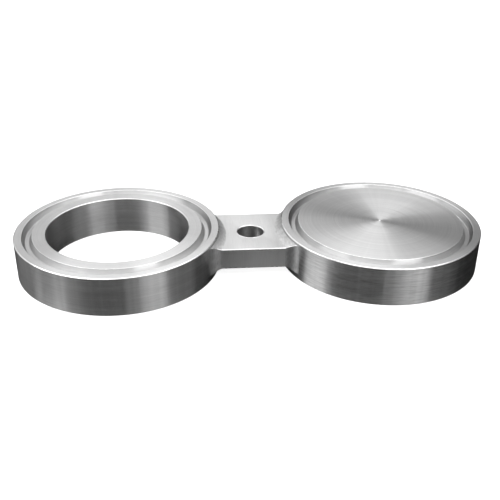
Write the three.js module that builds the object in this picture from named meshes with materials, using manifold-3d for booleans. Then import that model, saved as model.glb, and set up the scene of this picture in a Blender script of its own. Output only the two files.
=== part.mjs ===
// Spectacle blind (figure-8 blank) for a ring-joint pipe flange, NPS 6 Class 900.
//
// A bored spacer ring and a solid blank disc are held together by a tie bar, which a
// weld run joins to each disc on its top, bottom, front and back. Both faces of both
// discs have the same ring-joint groove, so the blind can be turned end for end.
//
// Millimetres. +X runs from the spacer ring to the blank disc, and +Z up through the
// thickness. The origin is on the stud hole's axis, halfway through the discs.

import * as THREE from 'three';
import { mergeVertices } from 'three/addons/utils/BufferGeometryUtils.js';
import Module from 'manifold-3d';

// The two discs
const DISC_RADIUS = 241.3 / 2;
const DISC_THICKNESS = 47;
const DISC_EDGE_BREAK = 1;
const CENTRE_DISTANCE = 317.5; // the flange's bolt circle diameter
const BORE_RADIUS = 168.3 / 2;

// The ring-joint groove, for ring R45
const GROOVE_PITCH_RADIUS = 211.15 / 2;
const GROOVE_WIDTH = 11.91; // across its mouth
const GROOVE_DEPTH = 7.92;
const GROOVE_WALL_LEAN = THREE.MathUtils.degToRad(23);

// The tie bar
const BAR_WIDTH = 94.5;
const BAR_THICKNESS = 25.4;
const BAR_RISE = 1.75; // its mid-plane above the discs' mid-plane
const STUD_HOLE_RADIUS = 32 / 2;

// The welds. The ends of the bar are bevelled at 45 degrees on both faces. A face run
// fills the bevel and rises from there up the disc's wall.
const FACE_RUN_REACH = 8; // along the bar's face, from the disc
const FACE_RUN_RISE = 5.5; // up the disc's wall, from the bar's face
const FACE_RUN_HOLLOW = 0.8; // how far its surface dips below a straight slope
const SIDE_FILLET = 17; // radius of a side run's hollow surface
const GAP = 0.3; // between neighbouring pieces
const BEVEL = FACE_RUN_REACH + GAP * Math.SQRT2;

// How finely curves are divided
const ROUND_STEPS = 96;
const HOLE_STEPS = 48;
const FILLET_STEPS = 6;

const DISC_X = CENTRE_DISTANCE / 2;
const BAR_TOP = BAR_RISE + BAR_THICKNESS / 2;
const BAR_BOTTOM = BAR_RISE - BAR_THICKNESS / 2;
const BAR_EDGE = BAR_WIDTH / 2;
const FULL_TURN = 2 * Math.PI;
const QUARTER_TURN = Math.PI / 2;

const discSteel = { color: 0xc9cacb, roughness: 0.28, metalness: 1 };
const barSteel = { color: 0xcfd0d0, roughness: 0.35, metalness: 1 };
const weldSteel = { color: 0xb4b5b6, roughness: 0.42, metalness: 1 };

const wasm = await Module();
wasm.setup();

// Booleans

function toSolid(geometry) {
  const bare = geometry.clone();
  bare.deleteAttribute('normal');
  bare.deleteAttribute('uv');
  const merged = mergeVertices(bare, 1e-4);
  return new wasm.Manifold(new wasm.Mesh({
    numProp: 3,
    vertProperties: new Float32Array(merged.attributes.position.array),
    triVerts: new Uint32Array(merged.index.array),
  }));
}

function toGeometry(solid) {
  const mesh = solid.getMesh();
  const geometry = new THREE.BufferGeometry();
  geometry.setAttribute('position', new THREE.BufferAttribute(mesh.vertProperties, 3));
  geometry.setIndex(new THREE.BufferAttribute(mesh.triVerts, 1));
  geometry.computeVertexNormals();
  return geometry;
}

// Basic forms

function latheAboutZ(profile, steps = ROUND_STEPS) {
  const geometry = new THREE.LatheGeometry(profile, steps);
  geometry.rotateX(QUARTER_TURN);
  return geometry;
}

function slab(shape, bottom, top, curveSegments = HOLE_STEPS) {
  const settings = { depth: top - bottom, bevelEnabled: false, curveSegments };
  return new THREE.ExtrudeGeometry(shape, settings).translate(0, 0, bottom);
}

function upright(radius, x, bottom, top, steps = ROUND_STEPS) {
  const cylinder = new THREE.CylinderGeometry(radius, radius, top - bottom, steps);
  return cylinder.rotateX(QUARTER_TURN).translate(x, 0, (top + bottom) / 2);
}

// The discs. Each outline runs up the outer wall, in along the top face, and back
// out along the bottom face.

function outerWall() {
  const face = DISC_THICKNESS / 2;
  return [
    new THREE.Vector2(DISC_RADIUS - DISC_EDGE_BREAK, -face),
    new THREE.Vector2(DISC_RADIUS, DISC_EDGE_BREAK - face),
    new THREE.Vector2(DISC_RADIUS, face - DISC_EDGE_BREAK),
    new THREE.Vector2(DISC_RADIUS - DISC_EDGE_BREAK, face),
  ];
}

function grooveInwards() {
  const face = DISC_THICKNESS / 2;
  const mouth = GROOVE_WIDTH / 2;
  const floor = mouth - GROOVE_DEPTH * Math.tan(GROOVE_WALL_LEAN);
  return [
    new THREE.Vector2(GROOVE_PITCH_RADIUS + mouth, face),
    new THREE.Vector2(GROOVE_PITCH_RADIUS + floor, face - GROOVE_DEPTH),
    new THREE.Vector2(GROOVE_PITCH_RADIUS - floor, face - GROOVE_DEPTH),
    new THREE.Vector2(GROOVE_PITCH_RADIUS - mouth, face),
  ];
}

function onBottomFace(points) {
  return points.map((p) => new THREE.Vector2(p.x, -p.y)).reverse();
}

function spacerRing() {
  const face = DISC_THICKNESS / 2;
  const boreLip = [
    new THREE.Vector2(BORE_RADIUS + DISC_EDGE_BREAK, face),
    new THREE.Vector2(BORE_RADIUS, face - DISC_EDGE_BREAK),
  ];
  const profile = [
    ...outerWall(), ...grooveInwards(), ...boreLip,
    ...onBottomFace(boreLip), ...onBottomFace(grooveInwards()),
  ];
  return latheAboutZ([...profile, profile[0]]);
}

function blankDisc() {
  const face = DISC_THICKNESS / 2;
  return latheAboutZ([
    new THREE.Vector2(0, -face), ...onBottomFace(grooveInwards()),
    ...outerWall(), ...grooveInwards(), new THREE.Vector2(0, face),
  ]);
}

// What the bevel takes away above it, about the disc's axis, with the bar's face at z = 0
function bevelCut() {
  const inner = DISC_RADIUS - 1;
  const profile = [
    new THREE.Vector2(inner, -BEVEL - 1),
    new THREE.Vector2(DISC_RADIUS + BEVEL + 1, 1),
    new THREE.Vector2(inner, 1),
  ];
  return latheAboutZ([...profile, profile[0]]);
}

// The tie bar, with its ends hollowed to the discs and bevelled on both faces

function tieBar() {
  const outline = new THREE.Shape();
  outline.moveTo(-DISC_X, -BAR_EDGE);
  outline.lineTo(DISC_X, -BAR_EDGE);
  outline.lineTo(DISC_X, BAR_EDGE);
  outline.lineTo(-DISC_X, BAR_EDGE);
  outline.closePath();
  const hole = new THREE.Path();
  hole.absarc(0, 0, STUD_HOLE_RADIUS, 0, FULL_TURN);
  outline.holes.push(hole);
  let bar = toSolid(slab(outline, BAR_BOTTOM, BAR_TOP));
  for (const x of [-DISC_X, DISC_X]) {
    const disc = upright(DISC_RADIUS + GAP, x, BAR_BOTTOM - 1, BAR_TOP + 1);
    const topCut = bevelCut().translate(x, 0, BAR_TOP);
    const bottomCut = bevelCut().rotateX(Math.PI).translate(x, 0, BAR_BOTTOM);
    for (const cut of [disc, topCut, bottomCut]) bar = bar.subtract(toSolid(cut));
  }
  return toGeometry(bar);
}

// The weld runs are made about their disc's axis, with the bar leaving towards +X.

// The centre of the circle that touches the disc and the bar's edge, seen from above
const sideFilletCentre = new THREE.Vector2(
  Math.sqrt((DISC_RADIUS + SIDE_FILLET) ** 2 - (BAR_EDGE + SIDE_FILLET) ** 2),
  -BAR_EDGE - SIDE_FILLET,
);
const sideFilletToDisc = sideFilletCentre.angle() - Math.PI;

function sideRunOutline() {
  const wall = DISC_RADIUS + GAP;
  const edge = -BAR_EDGE - GAP;
  const reach = sideFilletCentre.length();
  const barToe = QUARTER_TURN + Math.acos(1 - GAP / SIDE_FILLET);
  const discToe = sideFilletToDisc - Math.acos(
    (SIDE_FILLET ** 2 + reach ** 2 - wall ** 2) / (2 * SIDE_FILLET * reach));
  const discToePoint = new THREE.Vector2(SIDE_FILLET, 0)
    .rotateAround(new THREE.Vector2(), discToe).add(sideFilletCentre);
  const outline = new THREE.Shape();
  outline.absarc(0, 0, wall, Math.asin(edge / wall), discToePoint.angle(), true);
  outline.absarc(
    sideFilletCentre.x, sideFilletCentre.y, SIDE_FILLET, discToe, barToe, true);
  outline.closePath();
  return outline;
}

function sideRun() {
  const half = BAR_THICKNESS / 2;
  const run = toSolid(slab(sideRunOutline(), -half, half, FILLET_STEPS));
  const topCut = bevelCut().translate(0, 0, half);
  const bottomCut = bevelCut().rotateX(Math.PI).translate(0, 0, -half);
  return toGeometry(run.subtract(toSolid(topCut)).subtract(toSolid(bottomCut)));
}

// Seen from above, a face run covers the end of the bar and its two side runs.
function faceRunPlan() {
  const { x, y } = sideFilletCentre;
  const inner = sideFilletCentre.clone().setLength(DISC_RADIUS - 1);
  const far = x + FACE_RUN_REACH;
  const plan = new THREE.Shape();
  plan.moveTo(inner.x, inner.y);
  plan.absarc(x, y, SIDE_FILLET, sideFilletToDisc, QUARTER_TURN, true);
  plan.lineTo(far, -BAR_EDGE);
  plan.lineTo(far, BAR_EDGE);
  plan.absarc(x, -y, SIDE_FILLET, -QUARTER_TURN, -sideFilletToDisc, true);
  plan.lineTo(inner.x, -inner.y);
  plan.closePath();
  return plan;
}

function faceRun() {
  const root = new THREE.Vector2(DISC_RADIUS + GAP, GAP - FACE_RUN_REACH);
  const toe = new THREE.Vector2(DISC_RADIUS + FACE_RUN_REACH, 0);
  const top = new THREE.Vector2(DISC_RADIUS + GAP, FACE_RUN_RISE);
  const middle = toe.clone().lerp(top, 0.5).subScalar(FACE_RUN_HOLLOW * Math.SQRT2);
  const slope = new THREE.QuadraticBezierCurve(toe, middle, top);
  const ring = toSolid(latheAboutZ([root, ...slope.getPoints(FILLET_STEPS), root]));
  const plan = slab(faceRunPlan(), -FACE_RUN_REACH, FACE_RUN_RISE, FILLET_STEPS);
  return toGeometry(ring.intersect(toSolid(plan)));
}

// The assembly

function piece(name, geometry, finish) {
  const mesh = new THREE.Mesh(geometry, new THREE.MeshStandardMaterial(finish));
  mesh.name = name;
  return mesh;
}

// The runs about one disc. right and left are the sides seen along the bar from the disc.
function weldRuns(disc, right, left) {
  const top = piece(`${disc}_weld_top`, faceRun(), weldSteel);
  top.position.z = BAR_TOP;
  const bottom = piece(`${disc}_weld_bottom`, faceRun(), weldSteel);
  bottom.position.z = BAR_BOTTOM;
  bottom.rotation.x = Math.PI;
  const rightRun = piece(`${disc}_weld_${right}`, sideRun(), weldSteel);
  rightRun.position.z = BAR_RISE;
  const leftRun = piece(`${disc}_weld_${left}`, sideRun(), weldSteel);
  leftRun.position.z = BAR_RISE;
  leftRun.rotation.x = Math.PI;
  return new THREE.Group().add(top, bottom, rightRun, leftRun);
}

const spacerEnd = new THREE.Group().add(
  piece('spacer_ring', spacerRing(), discSteel),
  weldRuns('spacer', 'front', 'back'),
);
spacerEnd.position.x = -DISC_X;

const blankEnd = new THREE.Group().add(
  piece('blank_disc', blankDisc(), discSteel),
  weldRuns('blank', 'back', 'front'),
);
blankEnd.position.x = DISC_X;
blankEnd.rotation.z = Math.PI;

const spectacleBlind = new THREE.Group();
spectacleBlind.name = 'spectacle_blind';
spectacleBlind.add(spacerEnd, piece('tie_bar', tieBar(), barSteel), blankEnd);

export default spectacleBlind;
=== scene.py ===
"""Spectacle blind (figure-8 blank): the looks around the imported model.

The spacer ring and the blank disc are lathe-turned bright steel, the tie bar is ground, and
the weld runs between them are fillets dressed smooth. Metres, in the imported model's frame:
+X from the spacer ring to the blank disc, +Z up through the thickness.
"""

import math

import bpy
from mathutils import Matrix, Vector, noise


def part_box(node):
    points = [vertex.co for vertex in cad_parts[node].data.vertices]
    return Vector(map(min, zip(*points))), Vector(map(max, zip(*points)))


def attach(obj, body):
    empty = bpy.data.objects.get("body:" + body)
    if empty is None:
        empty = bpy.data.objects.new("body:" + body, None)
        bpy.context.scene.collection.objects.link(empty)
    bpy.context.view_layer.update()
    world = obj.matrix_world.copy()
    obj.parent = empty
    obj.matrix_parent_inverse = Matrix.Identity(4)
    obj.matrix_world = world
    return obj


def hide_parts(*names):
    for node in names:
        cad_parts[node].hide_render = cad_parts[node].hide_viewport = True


MM = 0.001
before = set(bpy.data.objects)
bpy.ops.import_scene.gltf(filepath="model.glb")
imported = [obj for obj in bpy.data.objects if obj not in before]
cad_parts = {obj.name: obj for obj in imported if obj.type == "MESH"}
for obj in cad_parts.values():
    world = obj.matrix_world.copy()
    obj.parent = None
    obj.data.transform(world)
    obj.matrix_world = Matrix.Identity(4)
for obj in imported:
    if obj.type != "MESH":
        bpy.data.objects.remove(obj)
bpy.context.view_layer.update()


# ---------------------------------------------------------------- sizes, from the frame

ring_low, ring_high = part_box("spacer_ring")
bar_low, bar_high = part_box("tie_bar")

DISC_R = (ring_high.y - ring_low.y) / 2
FACE_Z = ring_high.z
RING_X = (ring_low.x + ring_high.x) / 2
BLANK_X = -RING_X
BAR_EDGE = bar_high.y
BAR_TOP = bar_high.z
BAR_BOTTOM = bar_low.z

BORE_R = 84.15 * MM
STUD_HOLE_R = 16.0 * MM

# The ring-joint groove
GROOVE_PITCH_R = 105.575 * MM
GROOVE_HALF_MOUTH = 5.955 * MM
GROOVE_DEPTH = 7.92 * MM
GROOVE_WALL_LEAN = math.radians(23)
GROOVE_FLOOR_ROUND = 1.4 * MM
GROOVE_MOUTH_BREAK = 0.55 * MM

# Edge breaks, and the small rounding where a break meets its faces
DISC_CHAMFER = 1.0 * MM
BORE_CHAMFER = 0.8 * MM
CHAMFER_ROUND = 0.3 * MM
CENTRE_MARK_R = 1.2 * MM
CENTRE_MARK_DEPTH = 0.5 * MM
BAR_EDGE_ROUND = 1.2 * MM
HOLE_CHAMFER = 1.25 * MM
HOLE_LIP_R = STUD_HOLE_R + HOLE_CHAMFER

# The welds
FACE_RUN_REACH = 8.0 * MM  # along the bar's face, from the disc
FACE_RUN_RISE = 5.5 * MM  # up the disc's wall, from the bar's face
FACE_RUN_HOLLOW = 0.8 * MM  # how far its surface dips below a straight slope
FACE_RUN_SKEW = 2.0 * MM  # it reaches this much further at the bar's front, less at its back
SIDE_FILLET = 17.0 * MM
WELD_BITE = 0.6 * MM  # how far a run reaches into its neighbours
WELD_WAVE = 0.10 * MM  # how uneven the dressing left it
WELD_WAVE_PITCH = 4 * MM

# How edge breaks are told from other faces
EDGE_DEPTH = 1.4 * MM  # deeper than any edge break
UPRIGHT = 0.05  # the z of the normal is below this on an upright face
LEVEL = 0.98  # and above this on a level one

# How finely curves are divided
ROUND_STEPS = 320
OUTLINE_STEPS = 256
ARC_STEPS = 4
RUN_STEPS = 120  # along a face run
SLOPE_STEPS = 14  # up its surface
SIDE_RUN_ROWS = 16
SIDE_FILLET_STEPS = 28
FLOOR_STEPS = 64
SHARP_ANGLE = math.radians(35)  # edges sharper than this aren't shaded smooth
TINY = 1e-9  # keeps a division by a sine finite

# Turned steel
TURNED_ANISOTROPY = 0.95
GRAZING_TINT = (0.42, 0.42, 0.42, 1)  # the marks shade one another when seen edge-on
FEED_PITCH = 0.9 * MM
PASS_PITCH = 2.5 * MM
TURN_DRIFT = 0.6 * MM  # how far the turning marks wander as they go round
CHATTER_PITCH = 9 * MM  # between the shallow waves that cross the turning marks
CHATTER_DEPTH = 0.08 * MM
STREAK_PITCH = 9 * MM
OWN_PATTERN = 20.0  # scales a disc's place, so that the two discs don't have the same chatter
STREAKS_ON_FACE = 0.15  # how strong the streaks across the marks are
STREAKS_ON_RIM = 0.6
SCRATCH_LENGTH = 16 * MM
SCRATCH_HEIGHT = 1.3 * MM
SCRATCH_TONE = 0.14
RING_SCRATCHES = 0.3  # how strong they are on the spacer ring, against the blank disc
WALL_TILT = (0.5, 0.1)  # the z of a normal where a surface starts to be a wall, and is one

# The duller zone on the bar beside each weld, by distance from the stud hole's axis
DULL_FROM = 17 * MM
DULL_FULLY = 30 * MM
DULLING = 0.07

# The camera
CAMERA_PLACE = (-0.0739, -0.8075, 0.4228)
CAMERA_LENS = 53.77  # millimetres, for a sensor 36 mm wide
CAMERA_SENSOR = 36.0
CAMERA_TURN = math.radians(-5.21)
CAMERA_DIP = math.radians(28.21)
CAMERA_ROLL = math.radians(0.73)

# The floor and the backdrop, in metres
FLOOR_R = 6.0
BACKDROP_CURVE = 2.0
BACKDROP_HEIGHT = 8.0

# The room
ROOM_GLOW = 0.022
CEILING_GLOW = 0.46
CEILING_EDGE = 0.45  # the sine of the elevation where the ceiling is at its full glow
DARK_SIDE = (0.78, 0.45, -0.43)  # the room is darkest that way, low and back to the right
DARK_GLOW = 0.3  # the share of the glow that is left there
DARK_EDGE = 0.5  # the cosine of the angle from there to where the dimming starts
DARK_CORE = 0.85  # and to where it is full


# ---------------------------------------------------------------- mesh helpers

def new_piece(name, vertices, faces, material, cad_node, x=0.0, highlit_edge_material=None):
    """A smooth-shaded piece that stands for one CAD node, with its origin at x. Slanted faces
    near its top and bottom are edge breaks. They take the edge material, with its painted
    highlight, if there is one."""
    mesh = bpy.data.meshes.new(name)
    mesh.from_pydata(vertices, [], faces)
    mesh.validate()
    mesh.shade_smooth()
    mesh.set_sharp_from_angle(angle=SHARP_ANGLE)
    mesh.materials.append(material)
    if highlit_edge_material:
        mesh.materials.append(highlit_edge_material)
        heights = [v.co.z for v in mesh.vertices]
        top = max(heights) - EDGE_DEPTH
        bottom = min(heights) + EDGE_DEPTH
        for face in mesh.polygons:
            at_edge = face.center.z > top or face.center.z < bottom
            if at_edge and UPRIGHT < abs(face.normal.z) < LEVEL:
                face.material_index = 1
    piece = bpy.data.objects.new(name, mesh)
    piece.location.x = x
    bpy.context.scene.collection.objects.link(piece)
    weighted = piece.modifiers.new("even shading", "WEIGHTED_NORMAL")
    weighted.keep_sharp = True
    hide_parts(cad_node)
    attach(piece, "root")
    return piece


def rounded(corners):
    """Points of a closed outline given by (x, y, radius) corners, each rounded by its radius."""
    points = []
    for i, (x, y, radius) in enumerate(corners):
        here = Vector((x, y))
        if radius == 0:
            points.append(here)
            continue
        before = (Vector(corners[i - 1][:2]) - here).normalized()
        after = (Vector(corners[(i + 1) % len(corners)][:2]) - here).normalized()
        half = before.angle(after) / 2
        centre = here + (before + after).normalized() * radius / math.sin(half)
        start = here + before * radius / math.tan(half) - centre
        sweep = start.angle_signed(here + after * radius / math.tan(half) - centre)
        for step in range(ARC_STEPS + 1):
            points.append(centre + Matrix.Rotation(-sweep * step / ARC_STEPS, 2) @ start)
    return points


def loops_to_faces(loop_count, size, closed):
    """Quads between neighbouring loops of size vertices each. The last meets the first if closed."""
    faces = []
    for i in range(loop_count if closed else loop_count - 1):
        here = i * size
        there = (i + 1) % loop_count * size
        for j in range(size):
            k = (j + 1) % size
            faces.append((here + j, here + k, there + k, there + j))
    return faces


def turned(name, corners, materials, cad_node, x):
    """A lathe-turned piece. An outline that starts and ends on the axis is solid there."""
    outline = rounded(corners)
    solid = outline[0].x == 0
    if solid:
        low = outline[0].y
        high = outline[-1].y
        outline = outline[1:-1]
    turns = [math.tau * j / ROUND_STEPS for j in range(ROUND_STEPS)]
    vertices = [(p.x * math.cos(turn), p.x * math.sin(turn), p.y)
                for p in outline for turn in turns]
    faces = loops_to_faces(len(outline), ROUND_STEPS, closed=not solid)
    if solid:
        last = (len(outline) - 1) * ROUND_STEPS
        vertices += [(0, 0, low), (0, 0, high)]
        bottom = len(vertices) - 2
        top = len(vertices) - 1
        for j in range(ROUND_STEPS):
            k = (j + 1) % ROUND_STEPS
            faces.append((bottom, k, j))
            faces.append((top, last + j, last + k))
    body, edge = materials
    return new_piece(name, vertices, faces, body, cad_node, x, edge)


# ---------------------------------------------------------------- the discs

# Where a piece takes several materials, the body's comes first, then the edge breaks'.

def outer_wall():
    """Corners of the rim, from the bottom face to the top face."""
    edge = DISC_R - DISC_CHAMFER
    wall = FACE_Z - DISC_CHAMFER
    return [(edge, -FACE_Z, CHAMFER_ROUND), (DISC_R, -wall, CHAMFER_ROUND),
            (DISC_R, wall, CHAMFER_ROUND), (edge, FACE_Z, CHAMFER_ROUND)]


def groove():
    """Corners of the top face's groove, from its outer lip inwards."""
    half_floor = GROOVE_HALF_MOUTH - GROOVE_DEPTH * math.tan(GROOVE_WALL_LEAN)
    floor = FACE_Z - GROOVE_DEPTH
    return [(GROOVE_PITCH_R + GROOVE_HALF_MOUTH, FACE_Z, GROOVE_MOUTH_BREAK),
            (GROOVE_PITCH_R + half_floor, floor, GROOVE_FLOOR_ROUND),
            (GROOVE_PITCH_R - half_floor, floor, GROOVE_FLOOR_ROUND),
            (GROOVE_PITCH_R - GROOVE_HALF_MOUTH, FACE_Z, GROOVE_MOUTH_BREAK)]


def below(corners):
    """The same corners on the bottom face, in outline order."""
    return [(x, -y, radius) for x, y, radius in reversed(corners)]


def make_spacer_ring(materials):
    lip = [(BORE_R + BORE_CHAMFER, FACE_Z, CHAMFER_ROUND),
           (BORE_R, FACE_Z - BORE_CHAMFER, CHAMFER_ROUND)]
    corners = outer_wall() + groove() + lip + below(lip) + below(groove())
    return turned("spacer_ring_turned", corners, materials, "spacer_ring", RING_X)


def make_blank_disc(materials):
    mark = [(CENTRE_MARK_R, FACE_Z, CENTRE_MARK_R / 4), (0, FACE_Z - CENTRE_MARK_DEPTH, 0)]
    corners = below(mark) + below(groove()) + outer_wall() + groove() + mark
    return turned("blank_disc_turned", corners, materials, "blank_disc", BLANK_X)


# ---------------------------------------------------------------- the tie bar

def bar_reach(angle):
    """How far the bar's outline is from the stud hole's axis, in that direction. Its ends
    follow the discs' walls, just inside them."""
    across = BAR_EDGE / max(abs(math.sin(angle)), TINY)
    along = BLANK_X * abs(math.cos(angle))
    hidden_r = DISC_R - WELD_BITE
    inside = along ** 2 - BLANK_X ** 2 + hidden_r ** 2
    return min(across, along - math.sqrt(inside)) if inside > 0 else across


def bar_edge_section():
    """Points (offset from the outline, z) up the bar's edge, with its two rounded corners. The
    first and last corners only steer the roundings, and are left out."""
    corners = [(-BAR_EDGE_ROUND, BAR_BOTTOM, 0), (0, BAR_BOTTOM, BAR_EDGE_ROUND),
               (0, BAR_TOP, BAR_EDGE_ROUND), (-BAR_EDGE_ROUND, BAR_TOP, 0)]
    return rounded(corners)[1:-1]


def stud_hole_section():
    """Points (radius, z) down the stud hole's wall, with its two chamfers. The first and last
    corners only steer the roundings at the lips, and are left out. Those roundings start a
    little below the bar's faces, which dip to meet them."""
    corners = [(STUD_HOLE_R, BAR_BOTTOM, 0),
               (HOLE_LIP_R, BAR_TOP, CHAMFER_ROUND),
               (STUD_HOLE_R, BAR_TOP - HOLE_CHAMFER, CHAMFER_ROUND),
               (STUD_HOLE_R, BAR_BOTTOM + HOLE_CHAMFER, CHAMFER_ROUND),
               (HOLE_LIP_R, BAR_BOTTOM, CHAMFER_ROUND),
               (STUD_HOLE_R, BAR_TOP, 0)]
    return rounded(corners)[1:-1]


def make_tie_bar(materials):
    """Loops up the outer edge, in across the top, down the stud hole and out underneath. The
    third material is the hole's, with painted shade in its base colour."""
    directions = [math.tau * j / OUTLINE_STEPS for j in range(OUTLINE_STEPS)]
    ways = [Vector((math.cos(a), math.sin(a))) for a in directions]
    outline = [way * bar_reach(a) for way, a in zip(ways, directions)]
    outward = []
    for j in range(OUTLINE_STEPS):
        along = outline[(j + 1) % OUTLINE_STEPS] - outline[j - 1]
        outward.append(Vector((along.y, -along.x)).normalized())

    def face_loop(share, z):
        """A loop on a face of the bar, that share of the way from the hole to the outline."""
        return [(*(p * share + way * HOLE_LIP_R * (1 - share)), z)
                for p, way in zip(outline, ways)]

    halfway = 0.5
    near_edge = 0.96
    vertices = face_loop(halfway, BAR_BOTTOM) + face_loop(near_edge, BAR_BOTTOM)
    for offset, z in bar_edge_section():
        vertices += [(*(p + n * offset), z) for p, n in zip(outline, outward)]
    vertices += face_loop(near_edge, BAR_TOP) + face_loop(halfway, BAR_TOP)
    for radius, z in stud_hole_section():
        vertices += [(*(way * radius), z) for way in ways]
    loop_count = len(vertices) // OUTLINE_STEPS
    faces = loops_to_faces(loop_count, OUTLINE_STEPS, closed=True)

    body, edge, shaded_hole_wall = materials
    bar = new_piece("tie_bar_ground", vertices, faces, body, "tie_bar", highlit_edge_material=edge)
    bar.data.materials.append(shaded_hole_wall)
    for face in bar.data.polygons:
        if face.center.xy.length < STUD_HOLE_R:
            face.material_index = 2
    return bar


# ---------------------------------------------------------------- the weld runs

# Runs are made with the disc's axis at the origin and the bar leaving towards +X. Seen from
# above, the front run's surface is on the circle about (SIDE_X, SIDE_Y) that touches both the
# disc and the bar's front edge.
SIDE_Y = -BAR_EDGE - SIDE_FILLET
SIDE_X = math.sqrt((DISC_R + SIDE_FILLET) ** 2 - SIDE_Y ** 2)
SIDE_TIP = math.atan2(-SIDE_Y, SIDE_X)  # where it touches the disc, as an angle off the bar


def run_toe(angle):
    """How far a face run's toe is from the disc's axis at that angle off the bar."""
    return DISC_R + FACE_RUN_REACH - FACE_RUN_SKEW * math.sin(angle) / math.sin(SIDE_TIP)


def run_edge(angle):
    """How far the sides of the bar and of its side runs are from the disc's axis."""
    edge = BAR_EDGE / max(math.sin(abs(angle)), TINY)
    if edge * math.cos(angle) < SIDE_X:
        middle = SIDE_X * math.cos(angle) - SIDE_Y * math.sin(abs(angle))
        inside = max(middle ** 2 - SIDE_X ** 2 - SIDE_Y ** 2 + SIDE_FILLET ** 2, 0)
        edge = middle - math.sqrt(inside)
    return edge


def run_height(radius, toe):
    """The height of a face run's surface above the bar's face."""
    share = (toe - radius) / (toe - DISC_R)
    dip = 4 * FACE_RUN_HOLLOW * share * (1 - share)
    return FACE_RUN_RISE * share - dip


def wave(point):
    """The unevenness that dressing leaves on a weld, at a point in metres."""
    return WELD_WAVE * noise.noise(point / WELD_WAVE_PITCH)


def closed_strip(columns):
    """Vertices and faces of a closed body swept through columns of equal length."""
    vertices = [v for column in columns for v in column]
    size = len(columns[0])
    faces = loops_to_faces(len(columns), size, closed=False)
    faces.append(tuple(reversed(range(size))))
    faces.append(tuple(range(len(vertices) - size, len(vertices))))
    return vertices, faces


def place_run(vertices, faces, flips, z):
    """A run made at the disc's axis, turned to its end and side by the signs in flips."""
    placed = [Vector((v.x * flips[0], v.y * flips[1], v.z * flips[2] + z)) for v in vertices]
    if flips[0] * flips[1] * flips[2] < 0:
        faces = [tuple(reversed(face)) for face in faces]
    return placed, faces


def face_column(angle):
    """A section through a face run: out along its surface and back underneath. Heights are
    from the bar's face."""
    toe = run_toe(angle)
    edge = run_edge(angle)
    reach = min(toe, edge)
    inner = DISC_R - WELD_BITE
    edge_round = min(BAR_EDGE_ROUND, (reach - DISC_R) / 2) if edge < toe else 0
    section = [(inner, FACE_RUN_RISE)]
    for step in range(SLOPE_STEPS + 1):
        radius = DISC_R + (reach - edge_round - DISC_R) * step / SLOPE_STEPS
        section.append((radius, run_height(radius, toe)))
    brink = section[-1][1]
    for step in range(1, ARC_STEPS + 1):
        turn = math.pi / 2 * step / ARC_STEPS
        section.append((reach - edge_round * (1 - math.sin(turn)),
                        brink - edge_round * (1 - math.cos(turn))))
    section += [(reach, -BAR_EDGE_ROUND), (inner, -BAR_EDGE_ROUND)]
    points = []
    for radius, height in section:
        point = Vector((radius * math.cos(angle), radius * math.sin(angle), height))
        if height > 0 and radius > DISC_R:
            point.z += wave(point) * min(1, height / MM)
        points.append(point)
    return points


def make_face_run(disc, end, side, materials):
    """end is -1 at the spacer ring and 1 at the blank disc. The rounding over the bar's edges
    takes the edge breaks' material, with its painted highlight."""
    columns = [face_column(SIDE_TIP * (2 * i / RUN_STEPS - 1)) for i in range(RUN_STEPS + 1)]
    up = 1 if side == "top" else -1
    face_z = BAR_TOP if side == "top" else BAR_BOTTOM
    vertices, faces = place_run(*closed_strip(columns), (-end, 1, up), face_z)
    node = f"{disc}_weld_{side}"
    body, edge = materials
    run = new_piece(node + "_dressed", vertices, faces, body, node, end * BLANK_X)
    run.data.materials.append(edge)
    size = len(columns[0])
    after_rounding = size - 3  # a column ends with its side, its underside and the disc's wall
    for face in run.data.polygons[:RUN_STEPS * size]:
        if after_rounding - ARC_STEPS <= face.index % size < after_rounding:
            face.material_index = 1
    return run


def side_column(height):
    """The front run's outline at a height: along its hollow surface and back inside."""
    points = []
    for i in range(SIDE_FILLET_STEPS + 1):
        turn = math.pi / 2 + (math.pi / 2 - SIDE_TIP) * i / SIDE_FILLET_STEPS
        point = Vector((SIDE_X, SIDE_Y, height))
        out = Vector((math.cos(turn), math.sin(turn), 0))
        point += out * SIDE_FILLET
        point -= out * wave(point) * math.sin(math.pi * i / SIDE_FILLET_STEPS)
        points.append(point)
    tip = points[-1]
    corner_x = math.sqrt(DISC_R ** 2 - BAR_EDGE ** 2)
    points.append(tip * (1 - WELD_BITE / DISC_R))
    points[-1].z = height
    points.append(Vector((corner_x - WELD_BITE, -BAR_EDGE + WELD_BITE, height)))
    points.append(Vector((SIDE_X, -BAR_EDGE + WELD_BITE, height)))
    return points


def make_side_run(disc, end, side, material):
    """end is -1 at the spacer ring and 1 at the blank disc."""
    half = (BAR_TOP - BAR_BOTTOM) / 2 - BAR_EDGE_ROUND
    columns = [side_column(half * (1 - 2 * i / SIDE_RUN_ROWS)) for i in range(SIDE_RUN_ROWS + 1)]
    facing = 1 if side == "front" else -1
    middle = (BAR_TOP + BAR_BOTTOM) / 2
    vertices, faces = place_run(*closed_strip(columns), (-end, facing, 1), middle)
    node = f"{disc}_weld_{side}"
    return new_piece(node + "_dressed", vertices, faces, material, node, end * BLANK_X)


# ---------------------------------------------------------------- materials

def add_node(tree, kind, inputs, **settings):
    """A node with its settings, and its inputs set to a value or linked from a socket."""
    node = tree.nodes.new("ShaderNode" + kind)
    for name, value in settings.items():
        setattr(node, name, value)
    for name, value in inputs.items():
        if isinstance(value, bpy.types.NodeSocket):
            tree.links.new(value, node.inputs[name])
        else:
            node.inputs[name].default_value = value
    return node


def new_metal(name, **shader_inputs):
    """A metallic material, its node tree and its shader. Underscores stand for spaces."""
    material = bpy.data.materials.new(name)
    material.use_nodes = True
    shader = material.node_tree.nodes["Principled BSDF"]
    shader.inputs["Metallic"].default_value = 1
    for socket, value in shader_inputs.items():
        shader.inputs[socket.replace("_", " ")].default_value = value
    return material, material.node_tree, shader


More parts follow.
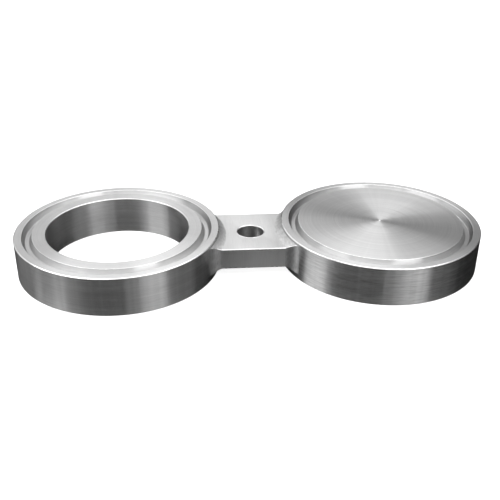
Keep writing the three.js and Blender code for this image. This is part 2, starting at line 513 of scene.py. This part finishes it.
def calculate(tree, operation, *values):
    """The result of a Math node on numbers or sockets."""
    inputs = dict(enumerate(values))
    return add_node(tree, "Math", inputs, operation=operation).outputs["Value"]


def combine(tree, operation, *values):
    """The vector that a Vector Math node makes from vectors or sockets."""
    inputs = dict(enumerate(values))
    return add_node(tree, "VectorMath", inputs, operation=operation).outputs["Vector"]


def component(tree, vector, axis):
    """The vector's X, Y or Z."""
    return add_node(tree, "SeparateXYZ", {"Vector": vector}).outputs[axis]


def map_range(tree, value, from_range, to_range):
    """value, held between the ends of from_range, carried over to to_range."""
    inputs = {"Value": value, "From Min": from_range[0], "From Max": from_range[1],
              "To Min": to_range[0], "To Max": to_range[1]}
    return add_node(tree, "MapRange", inputs).outputs["Result"]


def spread(tree, factor, low, high, middle=0.5):
    """factor, which lies around middle, stretched to run from low to high."""
    return map_range(tree, factor, (middle * 0.5, middle * 1.5), (low, high))


def marks(tree, vector, pattern, pitch, detail=2.0):
    """Noise from 0 to 1 whose features are pitch apart, in vector's own units. Another pattern
    number gives other noise."""
    scaled = add_node(tree, "VectorMath", {0: vector, "Scale": 1 / pitch}, operation="SCALE")
    inputs = {"Vector": scaled.outputs["Vector"], "W": pattern, "Scale": 1.0, "Detail": detail}
    return add_node(tree, "TexNoise", inputs, noise_dimensions="4D").outputs["Fac"]


def grey(tree, value):
    """A colour of that brightness."""
    inputs = {"Red": value, "Green": value, "Blue": value}
    return add_node(tree, "CombineColor", inputs).outputs["Color"]


def coordinates(tree, kind="Object"):
    """The place being shaded, in the piece's own metres unless another kind is asked for."""
    return add_node(tree, "TexCoord", {}).outputs[kind]


def bump(tree, height, strength, distance, **inputs):
    """The normal of a surface that is raised by height times distance, in metres."""
    inputs = {"Height": height, "Strength": strength, "Distance": distance, **inputs}
    return add_node(tree, "Bump", inputs).outputs["Normal"]


def connect(tree, shader, **sockets):
    """Each of the shader's inputs with its socket. Underscores stand for spaces."""
    for name, socket in sockets.items():
        tree.links.new(socket, shader.inputs[name.replace("_", " ")])


def grain_round(tree, shader, axis):
    """Anisotropic highlights that lie across marks which run round that axis."""
    tangent = add_node(tree, "Tangent", {}, direction_type="RADIAL", axis=axis)
    connect(tree, shader, Tangent=tangent.outputs["Tangent"])
    quarter_turn = 0.25
    shader.inputs["Anisotropic Rotation"].default_value = quarter_turn


def scratch_share(tree):
    """How scratched a disc is: 0 on its faces, RING_SCRATCHES on the spacer ring's walls and 1
    on the blank disc's."""
    tilt = calculate(tree, "ABSOLUTE", component(tree, coordinates(tree, "Normal"), "Z"))
    on_wall = map_range(tree, tilt, WALL_TILT, (0, 1))
    place = add_node(tree, "ObjectInfo", {}).outputs["Location"]
    on_disc = map_range(tree, component(tree, place, "X"), (RING_X, BLANK_X), (RING_SCRATCHES, 1))
    return calculate(tree, "MULTIPLY", on_wall, on_disc)


def turned_steel():
    """Lathe-turned steel. Its marks run round the piece's axis, which is at its origin."""
    material, tree, shader = new_metal("turned steel", Anisotropic=TURNED_ANISOTROPY,
                                       Specular_Tint=GRAZING_TINT)
    here = coordinates(tree)
    height = component(tree, here, "Z")
    flat = combine(tree, "MULTIPLY", here, (1, 1, 0))
    radius = add_node(tree, "VectorMath", {0: flat}, operation="LENGTH").outputs["Value"]
    bearing = combine(tree, "NORMALIZE", flat)

    # Marks round the axis, which change slowly as they go round
    drift = calculate(tree, "MULTIPLY", component(tree, bearing, "X"), TURN_DRIFT)
    section = {"X": radius, "Y": height, "Z": drift}
    section = add_node(tree, "CombineXYZ", section).outputs["Vector"]
    change = component(tree, bearing, "Y")
    feed = marks(tree, section, pattern=change, pitch=FEED_PITCH)
    passes = marks(tree, section, pattern=change, pitch=PASS_PITCH)

    # Chatter and streaks across them. Each disc has its own, told apart by its place.
    place = add_node(tree, "ObjectInfo", {}).outputs["Location"]
    own = add_node(tree, "VectorMath", {0: place, "Scale": OWN_PATTERN}, operation="SCALE")
    own_bearing = combine(tree, "ADD", bearing, own.outputs["Vector"])
    chatter = marks(tree, own_bearing, pattern=2.0, pitch=CHATTER_PITCH / DISC_R, detail=3.0)
    chatter = calculate(tree, "MULTIPLY", chatter, radius)
    streaks = marks(tree, own_bearing, pattern=6.0, pitch=STREAK_PITCH / DISC_R, detail=3.0)
    strength = map_range(tree, radius, (DISC_R - 2 * MM, DISC_R - MM),
                         (STREAKS_ON_FACE, STREAKS_ON_RIM))

    # Short scratches round the walls
    upward = add_node(tree, "CombineXYZ", {"Z": height}).outputs["Vector"]
    stretch = (0, 0, SCRATCH_LENGTH / SCRATCH_HEIGHT / DISC_R)
    wrapped = combine(tree, "MULTIPLY_ADD", upward, stretch, own_bearing)
    scratches = marks(tree, wrapped, pattern=9.0, pitch=SCRATCH_LENGTH / DISC_R, detail=3.0)
    scratches = spread(tree, scratches, -SCRATCH_TONE, SCRATCH_TONE)

    tone = calculate(tree, "ADD", feed, passes)
    tone = calculate(tree, "MULTIPLY_ADD", spread(tree, streaks, -1.0, 1.0), strength, tone)
    tone = spread(tree, tone, 0.60, 0.74, middle=1.0)
    tone = calculate(tree, "MULTIPLY_ADD", scratches, scratch_share(tree), tone)
    rings = bump(tree, passes, strength=0.3, distance=0.02 * MM)
    waves = bump(tree, chatter, strength=1.0, distance=CHATTER_DEPTH / DISC_R, Normal=rings)
    connect(tree, shader, Base_Color=grey(tree, tone),
            Roughness=spread(tree, passes, 0.28, 0.34), Normal=waves)
    grain_round(tree, shader, "Z")
    return material


def ground_steel():
    """Steel ground across the bar, with a duller zone beside each weld."""
    material, tree, shader = new_metal("ground steel", Anisotropic=0.5)
    here = coordinates(tree)
    drawn_out = combine(tree, "MULTIPLY", here, (1, 0.05, 0.05))
    scratches = marks(tree, drawn_out, pattern=0.0, pitch=0.8 * MM)
    strokes = marks(tree, drawn_out, pattern=5.0, pitch=4 * MM)
    offset = calculate(tree, "ABSOLUTE", component(tree, here, "X"))
    beside_weld = map_range(tree, offset, (DULL_FROM, DULL_FULLY), (0, 1))
    streak = calculate(tree, "MULTIPLY", spread(tree, strokes, -0.05, 0.05), beside_weld)
    tone = calculate(tree, "ADD", spread(tree, scratches, 0.64, 0.70), streak)
    tone = calculate(tree, "MULTIPLY_ADD", beside_weld, -DULLING, tone)
    connect(tree, shader, Base_Color=grey(tree, tone),
            Roughness=spread(tree, strokes, 0.28, 0.40),
            Normal=bump(tree, scratches, strength=0.25, distance=0.02 * MM))
    grain_round(tree, shader, "X")
    return material


def edge_with_painted_highlight():
    """Edge breaks with small nicks, their base colour lightened into a painted highlight."""
    material, tree, shader = new_metal("edge with painted highlight")
    nicks = marks(tree, coordinates(tree), pattern=4.0, pitch=1.5 * MM, detail=3.0)
    # painted highlight: the edge breaks' base colour runs from 0.90 to 1.0, far lighter than the
    # body's
    connect(tree, shader, Base_Color=grey(tree, spread(tree, nicks, 0.90, 1.0)),
            Roughness=spread(tree, nicks, 0.22, 0.34),
            Normal=bump(tree, nicks, strength=0.2, distance=0.05 * MM))
    return material


def drilled_steel_painted_shade():
    """The wall of the stud hole, rough from the drill, with rings down its depth. Its base colour is
    darkened into painted shade.
    """
    material, tree, shader = new_metal("drilled steel with painted shade", Anisotropic=0.6)
    drawn_out = combine(tree, "MULTIPLY", coordinates(tree), (0.1, 0.1, 1))
    rings = marks(tree, drawn_out, pattern=3.0, pitch=0.8 * MM)
    # painted shade: the hole wall's base colour is held dark, from 0.30 to 0.46; the rings are real
    # drill marks
    connect(tree, shader, Base_Color=grey(tree, spread(tree, rings, 0.30, 0.46)),
            Roughness=spread(tree, rings, 0.34, 0.46))
    grain_round(tree, shader, "Z")
    return material


def weld_metal():
    """Weld metal dressed with a small wheel: soft patches with finer scratches over them."""
    material, tree, shader = new_metal("weld metal")
    here = coordinates(tree)
    drawn_out = combine(tree, "MULTIPLY", here, (1, 0.2, 0.2))
    scratches = marks(tree, drawn_out, pattern=1.0, pitch=1.1 * MM, detail=3.0)
    patches = marks(tree, here, pattern=2.0, pitch=7 * MM)
    tone = calculate(tree, "ADD", scratches, patches)
    connect(tree, shader, Base_Color=grey(tree, spread(tree, tone, 0.36, 0.74, middle=1.0)),
            Roughness=spread(tree, patches, 0.54, 0.44),
            Normal=bump(tree, scratches, strength=0.35, distance=0.05 * MM))
    return material


# ---------------------------------------------------------------- the studio

def make_camera():
    """A view from the front, just left of the stud hole, looking down 28 degrees."""
    data = bpy.data.cameras.new("camera")
    data.sensor_width = CAMERA_SENSOR
    data.lens = CAMERA_LENS
    camera = bpy.data.objects.new("camera", data)
    turn = Matrix.Rotation(CAMERA_TURN, 4, "Z")
    tilt = Matrix.Rotation(math.radians(90) - CAMERA_DIP, 4, "X")
    roll = Matrix.Rotation(CAMERA_ROLL, 4, "Z")
    camera.matrix_world = Matrix.Translation(CAMERA_PLACE) @ turn @ tilt @ roll
    bpy.context.scene.collection.objects.link(camera)
    bpy.context.scene.camera = camera


def floor_material():
    """Matt and pale, with a glow of its own that keeps it white."""
    material = bpy.data.materials.new("pale floor")
    material.use_nodes = True
    shader = material.node_tree.nodes["Principled BSDF"]
    for socket, value in (("Base Color", (0.6, 0.6, 0.6, 1)), ("Roughness", 0.9),
                          ("Emission Color", (1, 1, 1, 1)), ("Emission Strength", 0.85)):
        shader.inputs[socket].default_value = value
    return material


def make_floor():
    """A round floor that curves up into a backdrop. The metal doesn't mirror it, so the walls
    of the discs stay dark."""
    profile = [(FLOOR_R, 0.0)]
    for degrees in range(15, 91, 15):
        turn = math.radians(degrees)
        profile.append((FLOOR_R + BACKDROP_CURVE * math.sin(turn),
                        BACKDROP_CURVE * (1 - math.cos(turn))))
    profile.append((FLOOR_R + BACKDROP_CURVE, BACKDROP_HEIGHT))
    turns = [math.tau * j / FLOOR_STEPS for j in range(FLOOR_STEPS)]
    vertices = [(r * math.cos(turn), r * math.sin(turn), z - FACE_Z)
                for r, z in profile for turn in turns]
    backdrop = loops_to_faces(len(profile), FLOOR_STEPS, closed=False)
    faces = [tuple(range(FLOOR_STEPS))]
    faces += [tuple(reversed(face)) for face in backdrop]
    mesh = bpy.data.meshes.new("floor")
    mesh.from_pydata(vertices, [], faces)
    mesh.shade_smooth()
    mesh.materials.append(floor_material())
    floor = bpy.data.objects.new("floor", mesh)
    bpy.context.scene.collection.objects.link(floor)
    floor.visible_glossy = False
    floor.visible_diffuse = False
    floor.visible_shadow = False


def make_world():
    """A dim room below the horizon and a soft ceiling above it, dimmed towards DARK_SIDE."""
    world = bpy.data.worlds.new("studio")
    world.use_nodes = True
    bpy.context.scene.world = world
    tree = world.node_tree
    way = coordinates(tree, "Generated")
    rise = component(tree, way, "Z")
    glow = add_node(tree, "MapRange", {"Value": rise, "From Min": 0.0, "From Max": CEILING_EDGE,
                                       "To Min": ROOM_GLOW, "To Max": CEILING_GLOW},
                    interpolation_type="SMOOTHSTEP").outputs["Result"]
    toward = add_node(tree, "VectorMath", {0: way, 1: DARK_SIDE}, operation="DOT_PRODUCT")
    dimmed = map_range(tree, toward.outputs["Value"], (DARK_EDGE, DARK_CORE), (1, DARK_GLOW))
    background = tree.nodes["Background"]
    tree.links.new(calculate(tree, "MULTIPLY", glow, dimmed), background.inputs["Strength"])
    background.inputs["Color"].default_value = (1, 1, 1, 1)


def soft_box(name, azimuth, elevation, distance, width, height, radiance):
    """An evenly lit soft box that faces the stud hole. Angles are in degrees, azimuth from +X
    towards +Y. Distance, width and height are in metres."""
    data = bpy.data.lights.new(name, "AREA")
    data.shape = "RECTANGLE"
    data.size = width
    data.size_y = height
    data.energy = radiance * math.pi * width * height
    level = distance * math.cos(math.radians(elevation))
    place = Vector((level * math.cos(math.radians(azimuth)),
                    level * math.sin(math.radians(azimuth)),
                    distance * math.sin(math.radians(elevation))))
    light = bpy.data.objects.new(name, data)
    light.location = place
    light.rotation_euler = (-place).to_track_quat("-Z", "Y").to_euler()
    light.visible_camera = False
    bpy.context.scene.collection.objects.link(light)


def make_lights():
    """The boxes stand all round, for the turned steel to mirror."""
    soft_box("overhead", 98, 64, 1.23, 1.19, 1.13, 1.24)
    soft_box("upper left", 199, 36, 1.07, 0.88, 0.57, 1.83)
    soft_box("front right", 303, 19, 1.35, 0.70, 1.41, 1.40)
    soft_box("back", 92, 27, 1.23, 0.41, 0.41, 0.92)
    soft_box("upper right at the back", 30, 61, 1.15, 1.20, 1.24, 0.54)
    soft_box("left at the back", 139, 27, 1.25, 1.27, 1.27, 0.56)
    soft_box("low at the front", 296, -32, 1.56, 1.17, 0.09, 1.89)
    soft_box("low on the left", 189, -41, 0.71, 0.38, 0.37, 1.36)
    soft_box("near on the left", 175, -14, 0.51, 0.28, 0.06, 0.55)
    soft_box("strip at the back", 75, 38, 1.30, 0.04, 0.88, 1.00)
    soft_box("low on the right", 332, -51, 1.34, 1.20, 1.22, 0.15)
    soft_box("over the front", 290, 61, 0.95, 1.90, 0.70, 1.05)
    soft_box("strip at the front", 260, 26, 1.48, 1.52, 0.12, 2.00)


# ---------------------------------------------------------------- putting it together

steel = turned_steel()
bar_steel = ground_steel()
weld = weld_metal()
# the edge breaks' material, whose base colour carries a painted highlight
edge = edge_with_painted_highlight()
shaded_hole_steel = drilled_steel_painted_shade()

make_spacer_ring((steel, edge))
make_blank_disc((steel, edge))
make_tie_bar((bar_steel, edge, shaded_hole_steel))
for disc_name, bar_end in (("spacer", -1), ("blank", 1)):
    for face_side in ("top", "bottom"):
        make_face_run(disc_name, bar_end, face_side, (weld, edge))
    for edge_side in ("front", "back"):
        make_side_run(disc_name, bar_end, edge_side, weld)

make_camera()
make_floor()
make_world()
make_lights()
bpy.context.scene.view_settings.view_transform = "Standard"
